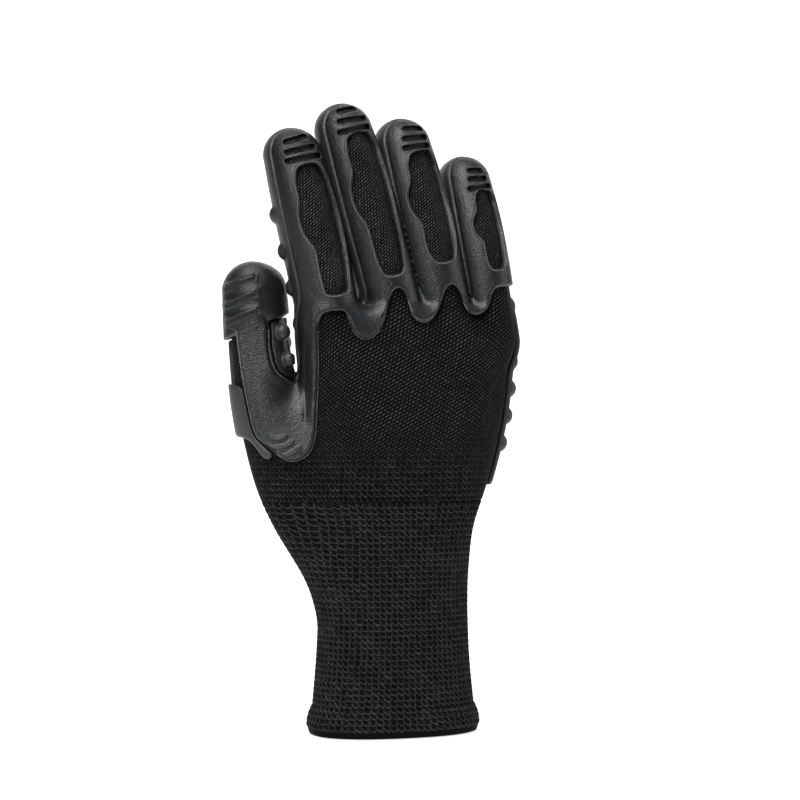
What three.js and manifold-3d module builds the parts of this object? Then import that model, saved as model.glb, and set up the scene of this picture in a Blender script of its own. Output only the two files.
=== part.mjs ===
// Right-hand work glove with a moulded anti-vibration rubber shell, shown filled as a hand fills it.
// A seamless knitted liner (cuff, hand and five finger stalls) carries a rubber back guard, which has
// windows over the finger bones, and a rubber palm shell with rows of round air-cushion bumps.
// Frame: the origin is the centre of the cuff's mouth, +Z runs up to the fingertips, +X to the little
// finger, and the back of the hand faces -Y. All lengths are in millimetres, all angles in degrees.
import * as THREE from "three";
import { mergeVertices } from "three/addons/utils/BufferGeometryUtils.js";
import Module from "manifold-3d";

const wasm = await Module();
wasm.setup();

// Driving dimensions of the hand that fills the glove
const KNUCKLE_HEIGHT = 172;
const PALM_WIDTH = 91;
const PALM_DEPTH = 30;
const WRIST_WIDTH = 61;
const WRIST_DEPTH = 41;
const FINGER_LENGTH = 79;
const FINGER_WIDTH = 16.8;
const FINGER_DEPTH = 18;
const FINGER_CURL = 8;
const THUMB_LENGTH = 118;
const THUMB_WIDTH = 17;

// Walls and clearances
const KNIT_WALL = 1.4;
const RUBBER_WALL = 2.4;
const PALM_PADDING = 1.6;
const GAP = 0.3;

// Cuff and hem
const CUFF_LENGTH = 97;
const HEM_HEIGHT = 12;
const HEM_BULGE = 2.2;

// Palm shell and its bumps
const PALM_SHELL_START = 103;
const BUMP_DIAMETER = 8.6;
const BUMP_HEIGHT = 2.6;
const PALM_BUMP_PITCH = 11.5;
const PALM_BUMP_SPACING = 19;
const FINGER_BUMP_PITCH = 15.5;

// Back guard: finger windows, tip slots, scalloped edge, thumb plate and fan pad
const WINDOW_WIDTH = 15.6;
const SLOT_HEIGHT = 2.2;
const SLOT_PITCH = 4;
const SLOT_LENGTH = 15;
const SLOT_DEPTH = 1.5;
const LOBE_DEPTH = 15;
const STRIP_WIDTH = 11;
const FAN_RADIUS = 14;
const FAN_RIDGE = 0.9;
const THUMB_CAP_LENGTH = 13;
const THUMB_CAP_STEP = 0.6;
const THUMB_RIB = 1;
const THUMB_RIB_PITCH = 6.6;
const THUMB_RIB_WIDTH = 3.2;

// How round the faceted solids are
const PALM_SIDES = 20;
const FINGER_SIDES = 10;
const BUMP_SIDES = 5;

const DEGREE = Math.PI / 180;
const KNIT_OUT = KNIT_WALL;
const SHELL_IN = KNIT_WALL + GAP;
const SHELL_OUT = SHELL_IN + RUBBER_WALL;
const FAR = 400;

// Sections of the hand from the mouth to the knuckles. height is a share of KNUCKLE_HEIGHT, shift of
// PALM_WIDTH. width and depth are shares of the wrist's or the palm's, as the row's flesh says.
const PALM_SECTIONS = [
  { height: 0.0, shift: -0.008, width: 1.12, depth: 1.0, flesh: "wrist" },
  { height: 0.22, shift: -0.01, width: 1.01, depth: 1.0, flesh: "wrist" },
  { height: 0.4, shift: -0.005, width: 1.0, depth: 0.98, flesh: "wrist" },
  { height: 0.5, shift: 0.0, width: 1.06, depth: 0.96, flesh: "wrist" },
  { height: 0.6, shift: 0.008, width: 0.84, depth: 1.2, flesh: "palm" },
  { height: 0.81, shift: 0.044, width: 0.95, depth: 1.08, flesh: "palm" },
  { height: 0.93, shift: 0.044, width: 1.0, depth: 1.0, flesh: "palm" },
  { height: 1.0, shift: 0.05, width: 0.99, depth: 0.94, flesh: "palm" },
];
const PALM_SQUARENESS = 2.3;
const WEB_RISE = 4;
const WEB_ROUND = 55;

// One row for each finger. root is a share of half the palm's width, lean the tip's sideways shift as a
// share of the finger's own length, and roll how far its back faces round towards the little finger.
const FINGERS = [
  { name: "index", root: -0.74, lean: -0.2, length: 0.87, width: 1.05, roll: 10 },
  { name: "middle", root: -0.117, lean: -0.25, length: 1.01, width: 1.03, roll: 0 },
  { name: "ring", root: 0.36, lean: -0.21, length: 0.945, width: 1.0, roll: 4 },
  { name: "little", root: 0.83, lean: -0.15, length: 0.77, width: 0.85, roll: 11 },
];
const FINGER_SHAPE = [
  { along: -0.15, size: 1.0 },
  { along: 0.6, size: 1.03 },
  { along: 1.0, size: 0.89 },
];

// The thumb's line from inside the wrist to its tip: x as a share of PALM_WIDTH and y of PALM_DEPTH
// from the wrist's middle, height as a share of THUMB_LENGTH above THUMB_START, size of THUMB_WIDTH.
const THUMB_START = 0.39 * KNUCKLE_HEIGHT;
const THUMB_LINE = [
  { x: -0.233, y: 0.0, height: 0.0, size: 1.4 },
  { x: -0.376, y: 0.08, height: 0.14, size: 1.4 },
  { x: -0.486, y: 0.177, height: 0.3, size: 1.37 },
  { x: -0.558, y: 0.236, height: 0.47, size: 1.27 },
  { x: -0.607, y: 0.275, height: 0.64, size: 1.15 },
  { x: -0.63, y: 0.307, height: 0.78, size: 1.04 },
  { x: -0.648, y: 0.315, height: 0.99, size: 0.94 },
];
const THUMB_FACING = -50;
const GUARD_FACING = -18;

// Solids and geometry

function toSolid(geometry) {
  const bare = geometry.index ? geometry.toNonIndexed() : geometry.clone();
  bare.deleteAttribute("normal");
  bare.deleteAttribute("uv");
  const merged = mergeVertices(bare, 1e-4);
  return new wasm.Manifold(new wasm.Mesh({
    numProp: 3,
    vertProperties: new Float32Array(merged.attributes.position.array),
    triVerts: new Uint32Array(merged.index.array),
  }));
}

function toGeometry(solid) {
  const mesh = solid.getMesh();
  const geometry = new THREE.BufferGeometry();
  geometry.setAttribute("position", new THREE.BufferAttribute(mesh.vertProperties, 3));
  geometry.setIndex(new THREE.BufferAttribute(mesh.triVerts, 1));
  const flat = geometry.toNonIndexed();
  flat.computeVertexNormals();
  return flat;
}

function joinAll(solids) {
  return solids.reduce((all, next) => all.add(next));
}

// A ring is a centre with two half-axes, across and deep. across x deep points along the loft.
function loft(rings, sides, squareness = 2) {
  const points = [];
  const faces = [];
  const power = 2 / squareness;
  for (const ring of rings) {
    for (let k = 0; k < sides; k += 1) {
      const angle = (2 * Math.PI * (k + 0.5)) / sides;
      const c = Math.cos(angle);
      const s = Math.sin(angle);
      const point = ring.centre.clone()
        .addScaledVector(ring.across, Math.sign(c) * Math.abs(c) ** power)
        .addScaledVector(ring.deep, Math.sign(s) * Math.abs(s) ** power);
      points.push(point.x, point.y, point.z);
    }
  }
  for (let row = 0; row < rings.length - 1; row += 1) {
    for (let k = 0; k < sides; k += 1) {
      const a = row * sides + k;
      const b = row * sides + ((k + 1) % sides);
      faces.push(a, b, b + sides, a, b + sides, a + sides);
    }
  }
  const first = points.length / 3;
  const last = first + 1;
  const bottom = rings[0].end ?? rings[0].centre;
  const top = rings[rings.length - 1].end ?? rings[rings.length - 1].centre;
  points.push(bottom.x, bottom.y, bottom.z, top.x, top.y, top.z);
  const topRow = (rings.length - 1) * sides;
  for (let k = 0; k < sides; k += 1) {
    const next = (k + 1) % sides;
    faces.push(first, next, k, last, topRow + k, topRow + next);
  }
  const geometry = new THREE.BufferGeometry();
  geometry.setAttribute("position", new THREE.Float32BufferAttribute(points, 3));
  geometry.setIndex(faces);
  return toSolid(geometry);
}

function box(low, high) {
  const geometry = new THREE.BoxGeometry(high[0] - low[0], high[1] - low[1], high[2] - low[2]);
  geometry.translate((low[0] + high[0]) / 2, (low[1] + high[1]) / 2, (low[2] + high[2]) / 2);
  return toSolid(geometry);
}

function between(low, high) {
  return box([-FAR, -FAR, low], [FAR, FAR, high]);
}

// A prism whose outline is drawn on the plane through origin with the axes right and up, and which
// runs from near to far along right x up, the side that the outline is seen from.
function prism(outline, frame, near, far) {
  const geometry = new THREE.ExtrudeGeometry(new THREE.Shape(outline), {
    depth: far - near,
    bevelEnabled: false,
    curveSegments: 6,
  });
  geometry.translate(0, 0, near);
  const basis = new THREE.Matrix4().makeBasis(
    frame.right, frame.up, new THREE.Vector3().crossVectors(frame.right, frame.up),
  );
  geometry.applyMatrix4(basis.setPosition(frame.origin));
  return toSolid(geometry);
}

function lerp(a, b, t) {
  return a + (b - a) * t;
}

// Straight-line reading of a table's column at a value of its key column
function read(table, key, value, column) {
  const upper = table.findIndex((row) => row[key] >= value);
  if (upper <= 0) return table[upper === 0 ? 0 : table.length - 1][column];
  const low = table[upper - 1];
  const high = table[upper];
  return lerp(low[column], high[column], (value - low[key]) / (high[key] - low[key]));
}

// Hand form: the palm, a finger and the thumb, each grown by an offset on every side, and by padding
// on the palm's side alone

const palmRows = PALM_SECTIONS.map((row) => ({
  z: row.height * KNUCKLE_HEIGHT,
  x: row.shift * PALM_WIDTH,
  width: (row.width * (row.flesh === "wrist" ? WRIST_WIDTH : PALM_WIDTH)) / 2,
  depth: (row.depth * (row.flesh === "wrist" ? WRIST_DEPTH : PALM_DEPTH)) / 2,
}));

function palmRing(z, offset, padding, scale = 1) {
  const width = read(palmRows, "z", z, "width") + offset;
  const depth = read(palmRows, "z", z, "depth") + offset + padding / 2;
  return {
    centre: new THREE.Vector3(read(palmRows, "z", z, "x"), padding / 2, z),
    across: new THREE.Vector3(width * scale, 0, 0),
    deep: new THREE.Vector3(0, depth * scale, 0),
  };
}

function palmForm(offset, padding = 0) {
  const rings = palmRows.map((row) => palmRing(row.z, offset, padding));
  rings[0].centre.z -= KNIT_WALL;
  const shoulder = palmRing(KNUCKLE_HEIGHT, offset, padding, Math.cos(WEB_ROUND * DEGREE));
  shoulder.centre.z += (WEB_RISE + offset) * Math.sin(WEB_ROUND * DEGREE);
  rings.push(shoulder);
  rings[rings.length - 1].end = new THREE.Vector3(
    rings[0].centre.x, padding / 2, KNUCKLE_HEIGHT + WEB_RISE + offset,
  );
  return loft(rings, PALM_SIDES, PALM_SQUARENESS);
}

function compass(azimuth) {
  return new THREE.Vector3(Math.sin(azimuth * DEGREE), -Math.cos(azimuth * DEGREE), 0);
}

// A digit is a line of stations from root to tip, each with a centre, half sizes and its own frame
function station(centre, along, facing, halfWidth, halfDepth) {
  const back = compass(facing);
  const palmar = back.negate().addScaledVector(along, -back.dot(along)).normalize();
  const across = new THREE.Vector3().crossVectors(palmar, along).normalize();
  return { centre, along, palmar, across, halfWidth, halfDepth };
}

function digitRing(stop, offset, padding, scale = 1) {
  return {
    centre: stop.centre.clone().addScaledVector(stop.palmar, padding / 2),
    across: stop.across.clone().multiplyScalar((stop.halfWidth + offset) * scale),
    deep: stop.palmar.clone().multiplyScalar((stop.halfDepth + offset + padding / 2) * scale),
  };
}

function digitForm(stops, offset, padding = 0) {
  const rings = stops.map((stop) => digitRing(stop, offset, padding));
  const tip = stops[stops.length - 1];
  for (const rise of [35, 68]) {
    const ring = digitRing(tip, offset, padding, Math.cos(rise * DEGREE));
    ring.centre.addScaledVector(tip.along, (tip.halfWidth + offset) * Math.sin(rise * DEGREE));
    rings.push(ring);
  }
  const last = rings[rings.length - 1];
  last.end = digitRing(tip, offset, padding).centre.addScaledVector(tip.along, tip.halfWidth + offset);
  return loft(rings, FINGER_SIDES);
}

const fingers = FINGERS.map((row) => {
  const length = row.length * FINGER_LENGTH;
  const root = new THREE.Vector3((row.root * PALM_WIDTH) / 2 + palmRows[palmRows.length - 1].x,
    -FINGER_CURL / 3, KNUCKLE_HEIGHT);
  const tip = root.clone().add(new THREE.Vector3(row.lean * length, FINGER_CURL, length));
  const bend = root.clone().lerp(tip, 0.5);
  bend.y = root.y;
  const curve = new THREE.QuadraticBezierCurve3(root, bend, tip);
  const at = (along) => {
    const inside = Math.max(along, 0);
    const tangent = curve.getTangent(inside).normalize();
    const centre = curve.getPoint(inside).addScaledVector(tangent, (along - inside) * length);
    const size = row.width * read(FINGER_SHAPE, "along", along, "size");
    return station(centre, tangent, row.roll, (size * FINGER_WIDTH) / 2, (size * FINGER_DEPTH) / 2);
  };
  return { ...row, length, at, stops: FINGER_SHAPE.map((shape) => at(shape.along)) };
});

const thumbPoints = THUMB_LINE.map((row) => new THREE.Vector3(
  row.x * PALM_WIDTH, row.y * PALM_DEPTH, THUMB_START + row.height * THUMB_LENGTH,
));
const thumbStops = THUMB_LINE.map((row, k) => {
  const before = thumbPoints[Math.max(k - 1, 0)];
  const after = thumbPoints[Math.min(k + 1, thumbPoints.length - 1)];
  const along = after.clone().sub(before).normalize();
  const half = (row.size * THUMB_WIDTH) / 2;
  return station(thumbPoints[k], along, THUMB_FACING, half, half);
});

function handForm(offset, padding = 0) {
  return joinAll([
    palmForm(offset, padding),
    digitForm(thumbStops, offset, padding),
    ...fingers.map((finger) => digitForm(finger.stops, offset, padding)),
  ]);
}

// Knitted liner: cuff, hand and the five finger stalls, with the seams where a knitter joins the tubes

const STALL_START = KNUCKLE_HEIGHT + WEB_RISE + KNIT_OUT + 3;
const THUMB_STALL_START = THUMB_START + 0.66 * THUMB_LENGTH;
const mouth = [palmRing(0, 0, 0), palmRing(0, 0, 0)];
mouth[0].centre.z = -HEM_HEIGHT;
mouth[1].centre.z = KNIT_WALL;
const hand = handForm(0).add(loft(mouth, PALM_SIDES, PALM_SQUARENESS));
const knit = handForm(KNIT_OUT).subtract(hand);
const thumbRoom = digitForm(thumbStops, SHELL_IN).intersect(between(THUMB_STALL_START - GAP, FAR));

const knitCuff = knit.intersect(between(HEM_HEIGHT + GAP, CUFF_LENGTH - GAP));
const knitHand = knit.intersect(between(CUFF_LENGTH, STALL_START - GAP)).subtract(thumbRoom);
const fingerStalls = fingers.map((finger) => digitForm(finger.stops, KNIT_OUT)
  .subtract(digitForm(finger.stops, 0))
  .intersect(between(STALL_START, FAR)));
const thumbStall = digitForm(thumbStops, KNIT_OUT)
  .subtract(digitForm(thumbStops, 0))
  .intersect(between(THUMB_STALL_START, FAR));

// Rolled hem: a band that swells out round the mouth

const HEM_PROFILE = [
  { height: 0.0, swell: 0.45 },
  { height: 0.25, swell: 1.0 },
  { height: 0.6, swell: 0.85 },
  { height: 1.0, swell: 0.0 },
];
const cuffHem = loft(
  HEM_PROFILE.map((row) => palmRing(row.height * HEM_HEIGHT, KNIT_OUT + row.swell * HEM_BULGE, 0)),
  PALM_SIDES, PALM_SQUARENESS,
).subtract(hand);

// Parting surface between the back guard and the palm shell, as the depth y over the height z: it runs
// along the sides of the fingers, leans across the palm and turns round the thumb

const thumbMiddle = thumbStops[5].centre;
const PARTING_KNOTS = [
  { x: thumbMiddle.x - 1.6 * THUMB_WIDTH, y: thumbMiddle.y + 0.9 * THUMB_WIDTH },
  { x: thumbMiddle.x, y: thumbMiddle.y },
  { x: thumbMiddle.x + 0.68 * THUMB_WIDTH, y: thumbMiddle.y - 0.8 * THUMB_WIDTH },
  { x: -0.5 * PALM_WIDTH, y: 0.1 * PALM_DEPTH },
  { x: 0.2 * PALM_WIDTH, y: -0.1 * PALM_DEPTH },
  { x: 0.8 * PALM_WIDTH, y: -0.26 * PALM_DEPTH },
];

const THUMB_TOP = thumbStops[thumbStops.length - 1].centre.z + THUMB_WIDTH;

function partingDepth(x, z) {
  const palm = read(PARTING_KNOTS, "x", x, "y");
  const tipHeight = KNUCKLE_HEIGHT + FINGER_LENGTH;
  const rise = Math.min(Math.max((z - KNUCKLE_HEIGHT) / (tipHeight - KNUCKLE_HEIGHT), 0), 1);
  const finger = lerp(-FINGER_CURL / 3, FINGER_CURL * 0.6, rise);
  const share = Math.min(Math.max((z - 0.9 * KNUCKLE_HEIGHT) / (0.15 * KNUCKLE_HEIGHT), 0), 1);
  const beside = x < PARTING_KNOTS[3].x && z < THUMB_TOP;
  return beside ? palm : lerp(palm, finger, share);
}

// Everything on the palm's side of the parting surface, moved by shift towards the back of the hand
function palmSide(shift) {
  const xs = PARTING_KNOTS.map((knot) => knot.x);
  xs[0] -= FAR;
  xs[xs.length - 1] += FAR;
  const zs = [-FAR, 0.9 * KNUCKLE_HEIGHT, 1.05 * KNUCKLE_HEIGHT, THUMB_TOP - 1, THUMB_TOP + 1, FAR];
  const rings = [];
  for (const z of zs) rings.push(xs.map((x) => [x, partingDepth(x, z) - shift, z]));
  const points = [];
  const faces = [];
  const wide = xs.length;
  for (const ring of rings) for (const p of ring) points.push(...p);
  for (const ring of rings) for (const p of ring) points.push(p[0], FAR, p[2]);
  const under = rings.length * wide;
  const quad = (a, b, c, d) => faces.push(a, b, c, a, c, d);
  for (let i = 0; i < rings.length - 1; i += 1) {
    for (let j = 0; j < wide - 1; j += 1) {
      const a = i * wide + j;
      quad(a, a + 1, a + wide + 1, a + wide);
      quad(under + a, under + a + wide, under + a + wide + 1, under + a + 1);
    }
    const left = i * wide;
    const right = left + wide - 1;
    quad(left, left + wide, under + left + wide, under + left);
    quad(right, under + right, under + right + wide, right + wide);
  }
  const top = (rings.length - 1) * wide;
  for (let j = 0; j < wide - 1; j += 1) {
    quad(j, under + j, under + j + 1, j + 1);
    quad(top + j, top + j + 1, under + top + j + 1, under + top + j);
  }
  const geometry = new THREE.BufferGeometry();
  geometry.setAttribute("position", new THREE.Float32BufferAttribute(points, 3));
  geometry.setIndex(faces);
  return toSolid(geometry);
}

// Rubber layer that both shells are cut from

const shell = handForm(SHELL_OUT, PALM_PADDING).subtract(handForm(SHELL_IN));

// Thumb cap: a thimble round the thumb's tip, a step thicker than the rest, with three raised ribs

const thumbTip = thumbStops[thumbStops.length - 1];
const capStart = thumbTip.centre.clone().addScaledVector(thumbTip.along, -THUMB_CAP_LENGTH);
function beyondCap(shift) {
  const frame = {
    origin: capStart.clone().addScaledVector(thumbTip.along, shift),
    right: thumbTip.across,
    up: thumbTip.palmar,
  };
  const wide = 2 * THUMB_WIDTH;
  return prism([[-wide, -wide], [wide, -wide], [wide, wide], [-wide, wide]]
    .map(([a, b]) => new THREE.Vector2(a, b)), frame, 0, FAR / 4);
}
const capOut = digitForm(thumbStops, SHELL_OUT + THUMB_CAP_STEP, PALM_PADDING);
const capRoom = digitForm(thumbStops, SHELL_OUT + THUMB_CAP_STEP + GAP, PALM_PADDING)
  .intersect(beyondCap(-GAP));
const thumbCap = capOut.subtract(digitForm(thumbStops, SHELL_IN)).intersect(beyondCap(0));

const ribs = [0, 1, 2].map((k) => {
  const ribbed = digitForm(thumbStops, SHELL_OUT + THUMB_CAP_STEP + THUMB_RIB, PALM_PADDING)
    .subtract(digitForm(thumbStops, SHELL_IN + GAP));
  const start = 3 - THUMB_CAP_LENGTH + k * THUMB_RIB_PITCH;
  const frame = {
    origin: thumbTip.centre.clone().addScaledVector(thumbTip.along, start),
    right: thumbTip.across,
    up: thumbTip.palmar,
  };
  const left = -0.75 * THUMB_WIDTH;
  const right = 0.25 * THUMB_WIDTH;
  const deep = -2 * THUMB_WIDTH;
  return ribbed.intersect(prism([[left, deep], [right, deep], [right, 0], [left, 0]]
    .map(([a, b]) => new THREE.Vector2(a, b)), frame, 0, THUMB_RIB_WIDTH));
});

// Back guard outlines

// Window over one finger: a round foot, a wide knuckle part, a waist and a round top. along is a share
// of the finger's length from its root, left and right are shares of WINDOW_WIDTH from its middle.
const WINDOW_SHAPE = [
  { along: 0.13, left: 0.14, right: 0.14 },
  { along: 0.18, left: 0.39, right: 0.42 },
  { along: 0.4, left: 0.4, right: 0.44 },
  { along: 0.5, left: 0.54, right: 0.48 },
  { along: 0.6, left: 0.56, right: 0.48 },
  { along: 0.67, left: 0.45, right: 0.48 },
  { along: 0.76, left: 0.49, right: 0.46 },
  { along: 0.86, left: 0.38, right: 0.38 },
  { along: 0.9, left: 0.14, right: 0.14 },
];

function fingerWindow(finger) {
  const middle = finger.at(0.5);
  const scale = WINDOW_WIDTH * finger.width;
  const corner = (side, row) => new THREE.Vector2(side * scale, (row.along - 0.5) * finger.length);
  const outline = [
    ...WINDOW_SHAPE.map((row) => corner(row.right, row)),
    ...WINDOW_SHAPE.slice().reverse().map((row) => corner(-row.left, row)),
  ];
  return prism(outline, { origin: middle.centre, right: middle.across, up: middle.along }, 0, FAR / 4);
}

function tipSlots(finger) {
  return [0, 1, 2].map((k) => {
    const stop = finger.at(1);
    const reach = finger.width * (SLOT_LENGTH / 2) * (1 - 0.17 * k);
    const low = (k - 0.6) * SLOT_PITCH;
    const frame = { origin: stop.centre, right: stop.across, up: stop.along };
    const outline = [[-reach, low], [reach, low], [reach, low + SLOT_HEIGHT], [-reach, low + SLOT_HEIGHT]];
    const deep = Math.sqrt(Math.max((stop.halfWidth + SHELL_OUT) ** 2 - (low + SLOT_HEIGHT) ** 2, 0));
    return prism(outline.map(([a, b]) => new THREE.Vector2(a, b)), frame, deep - SLOT_DEPTH, FAR / 4);
  });
}

// Scalloped lower edge over the knuckles: it hangs in a lobe between neighbouring fingers
const LOBES = [
  { start: 0.2, depth: 1.4 },
  { start: 0.0, depth: 1.0 },
  { start: 0.0, depth: 0.9 },
];

function scallops() {
  const peak = KNUCKLE_HEIGHT + 0.17 * FINGER_LENGTH;
  const roots = fingers.map((finger) => finger.at(0.15).centre.x + 1);
  const steps = 12;
  const lobes = LOBES.flatMap((lobe, i) => {
    const points = [];
    for (let k = 1; k <= steps; k += 1) {
      const t = k / steps;
      if (t < lobe.start) continue;
      const dip = (0.5 - 0.5 * Math.cos(2 * Math.PI * t)) ** 0.45;
      points.push([lerp(roots[i], roots[i + 1], t), peak - LOBE_DEPTH * lobe.depth * dip]);
    }
    return points;
  });
  const side = FAR / 4;
  const outline = [[side, peak], [side, FAR], [-side, FAR], [-side, lobes[0][1]], ...lobes]
    .map(([a, b]) => new THREE.Vector2(a, b));
  const frame = {
    origin: new THREE.Vector3(),
    right: new THREE.Vector3(1, 0, 0),
    up: new THREE.Vector3(0, 0, 1),
  };
  return prism(outline, frame, -side, side);
}

// The radial outlines are drawn as they are seen from the guard's facing, with right to the fingers
const facing = compass(GUARD_FACING);
const radialFrame = {
  origin: new THREE.Vector3(),
  right: new THREE.Vector3(-facing.y, facing.x, 0),
  up: new THREE.Vector3(0, 0, 1),
};
const sideways = (point) => point.dot(radialFrame.right);

function radialPrism(outline) {
  return prism(outline.map(([a, b]) => new THREE.Vector2(a, b)), radialFrame, -FAR / 8, FAR / 4);
}

const palmEdge = (() => {
  const ring = palmRing(0.93 * KNUCKLE_HEIGHT, SHELL_OUT, PALM_PADDING);
  const reach = Math.hypot(ring.across.x * radialFrame.right.x, ring.deep.y * radialFrame.right.y);
  return sideways(ring.centre) - reach;
})();
const fanCentre = [sideways(thumbStops[3].centre) + 0.06 * THUMB_WIDTH, thumbStops[3].centre.z + 4];

function radialOutlines(grow) {
  const strip = radialPrism([
    [palmEdge - 6 - grow, fanCentre[1]],
    [palmEdge + STRIP_WIDTH + grow, fanCentre[1]],
    [palmEdge + STRIP_WIDTH + grow, KNUCKLE_HEIGHT + 8],
    [palmEdge - 6 - grow, KNUCKLE_HEIGHT + 8],
  ]);
  const left = thumbStops.slice(3).map((stop) => [
    sideways(stop.centre) - 0.7 * (stop.halfWidth + SHELL_OUT) - grow, stop.centre.z,
  ]);
  const right = thumbStops.slice(3).map((stop) => [
    sideways(stop.centre) + 0.38 * (stop.halfWidth + SHELL_OUT) + grow, stop.centre.z,
  ]);
  const plate = radialPrism([...right, ...left.reverse()]);
  const web = radialPrism([
    [fanCentre[0] - 0.5 * FAN_RADIUS - grow, fanCentre[1]],
    [palmEdge + STRIP_WIDTH / 2 + grow, fanCentre[1]],
    [palmEdge + STRIP_WIDTH / 2 + grow, thumbStops[4].centre.z + 6],
    [sideways(thumbStops[4].centre), thumbStops[4].centre.z + 6],
  ]);
  const disc = [];
  const reach = FAN_RADIUS + grow;
  for (let k = 0; k < 16; k += 1) {
    const angle = (2 * Math.PI * k) / 16;
    disc.push([fanCentre[0] + reach * Math.cos(angle), fanCentre[1] + reach * Math.sin(angle)]);
  }
  return joinAll([strip, plate, web, radialPrism(disc)]);
}

// Three raised arcs on the fan pad, cut from a layer that stands FAN_RIDGE above the guard
function fanArcs() {
  const layer = handForm(SHELL_OUT + FAN_RIDGE, PALM_PADDING).subtract(handForm(SHELL_IN + GAP));
  return [0.3, 0.52, 0.74].map((share) => {
    const outline = [];
    const steps = 3;
    for (let k = 0; k <= steps; k += 1) {
      const angle = lerp(205, 335, k / steps) * DEGREE;
      outline.push([Math.cos(angle), Math.sin(angle)]);
    }
    const arc = (radius) => outline.map(([c, s]) => [
      fanCentre[0] + radius * c, fanCentre[1] + radius * s,
    ]);
    const band = [...arc(share * FAN_RADIUS + 0.7), ...arc(share * FAN_RADIUS - 0.7).reverse()];
    return layer.intersect(radialPrism(band));
  });
}

const backRegion = scallops().add(radialOutlines(0));
let backGuard = shell.intersect(backRegion).subtract(palmSide(GAP / 2));
const fanLayer = joinAll(fanArcs()).subtract(palmSide(GAP / 2));
backGuard = joinAll([backGuard, fanLayer, thumbCap, ...ribs]);
for (const finger of fingers) {
  backGuard = backGuard.subtract(fingerWindow(finger));
  for (const slot of tipSlots(finger)) backGuard = backGuard.subtract(slot);
}

// Palm shell with its bumps, and the wrap that comes round the foot of the thumb

function dome(point, normal, diameter) {
  const side = Math.abs(normal.z) < 0.9 ? new THREE.Vector3(0, 0, 1) : new THREE.Vector3(1, 0, 0);
  const across = new THREE.Vector3().crossVectors(side, normal).normalize();
  const deep = new THREE.Vector3().crossVectors(normal, across);
  const radius = diameter / 2;
  const rings = [
    { rise: -RUBBER_WALL / 2, reach: radius },
    { rise: BUMP_HEIGHT, reach: 0.62 * radius },
  ].map((row) => ({
    centre: point.clone().addScaledVector(normal, row.rise),
    across: across.clone().multiplyScalar(row.reach),
    deep: deep.clone().multiplyScalar(row.reach),
  }));
  return loft(rings, BUMP_SIDES);
}

function palmBumps() {
  const bumps = [];
  const rows = Math.floor((KNUCKLE_HEIGHT - PALM_SHELL_START - BUMP_DIAMETER) / PALM_BUMP_PITCH);
  for (let row = 0; row <= rows; row += 1) {
    const z = KNUCKLE_HEIGHT - 1.2 - row * PALM_BUMP_PITCH;
    const ring = palmRing(z, SHELL_OUT, PALM_PADDING);
    const spot = (angle) => {
      const power = 2 / PALM_SQUARENESS;
      const c = Math.cos(angle);
      const s = Math.sin(angle);
      return new THREE.Vector3(
        ring.centre.x + ring.across.x * Math.sign(c) * Math.abs(c) ** power,
        ring.centre.y + ring.deep.y * Math.sign(s) * Math.abs(s) ** power,
        z,
      );
    };
    let walked = 0;
    let wanted = 0;
    const step = 0.5 * DEGREE;
    for (let angle = 0; angle < Math.PI - 0.25; angle += step) {
      const here = spot(angle);
      if (walked >= wanted) {
        const tangent = spot(angle + step).sub(spot(angle - step)).normalize();
        bumps.push(dome(here, new THREE.Vector3(tangent.y, -tangent.x, 0), BUMP_DIAMETER));
        wanted += PALM_BUMP_SPACING * (walked === 0 && row % 2 === 0 ? 1.5 : 1);
      }
      walked += spot(angle + step).distanceTo(here);
    }
  }
  return bumps;
}

// Two staggered columns of bumps down the palm side of a digit, turned by the given angles
function digitBumps(at, length, first, last, turns) {
  const bumps = [];
  const rows = Math.floor((length * (last - first)) / FINGER_BUMP_PITCH);
  for (let row = 0; row <= rows; row += 1) {
    for (const turn of turns) {
      const stop = at(last - (row * FINGER_BUMP_PITCH) / length);
      const s = Math.sin(turn * DEGREE);
      const c = Math.cos(turn * DEGREE);
      const out = stop.across.clone().multiplyScalar(s).addScaledVector(stop.palmar, c);
      const ring = digitRing(stop, SHELL_OUT, PALM_PADDING);
      const point = ring.centre.clone().addScaledVector(ring.across, s).addScaledVector(ring.deep, c);
      bumps.push(dome(point, out, BUMP_DIAMETER * 0.94));
    }
  }
  return bumps;
}

function thumbAt(along) {
  const low = Math.min(Math.max(Math.floor(along), 0), thumbStops.length - 2);
  const t = along - low;
  const a = thumbStops[low];
  const b = thumbStops[low + 1];
  return station(a.centre.clone().lerp(b.centre, t), a.along.clone().lerp(b.along, t).normalize(),
    THUMB_FACING, lerp(a.halfWidth, b.halfWidth, t), lerp(a.halfDepth, b.halfDepth, t));
}

const wrapTop = thumbStops[4].centre.z - 1;
const wrapBottom = thumbStops[3].centre.z - 8;
const wrap = radialPrism([
  [-FAR / 4, wrapBottom + 6],
  [sideways(thumbStops[3].centre) - 0.2 * THUMB_WIDTH, wrapBottom - 4],
  [sideways(thumbStops[3].centre) - 0.75 * (thumbStops[3].halfWidth + SHELL_OUT) - GAP, wrapBottom + 14],
  [sideways(thumbStops[4].centre) - 0.7 * (thumbStops[4].halfWidth + SHELL_OUT) - GAP, wrapTop],
  [-FAR / 4, wrapTop + 3],
]);

const bumps = [
  ...palmBumps(),
  ...fingers.flatMap((finger) => digitBumps(finger.at, finger.length, 0.18, 0.86, [-48, 20])),
];
for (const along of [3.4, 4.3, 5.2]) {
  for (const turn of [-30, 32]) {
    const stop = thumbAt(along);
    bumps.push(...digitBumps(() => stop, 1, 0, 0, [turn]));
  }
}
const palmArea = palmSide(-GAP / 2).add(wrap.subtract(radialOutlines(GAP)))
  .intersect(between(PALM_SHELL_START, FAR));
const palmShell = joinAll([shell, ...bumps])
  .intersect(palmArea)
  .subtract(handForm(SHELL_IN))
  .subtract(capRoom);

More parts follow.
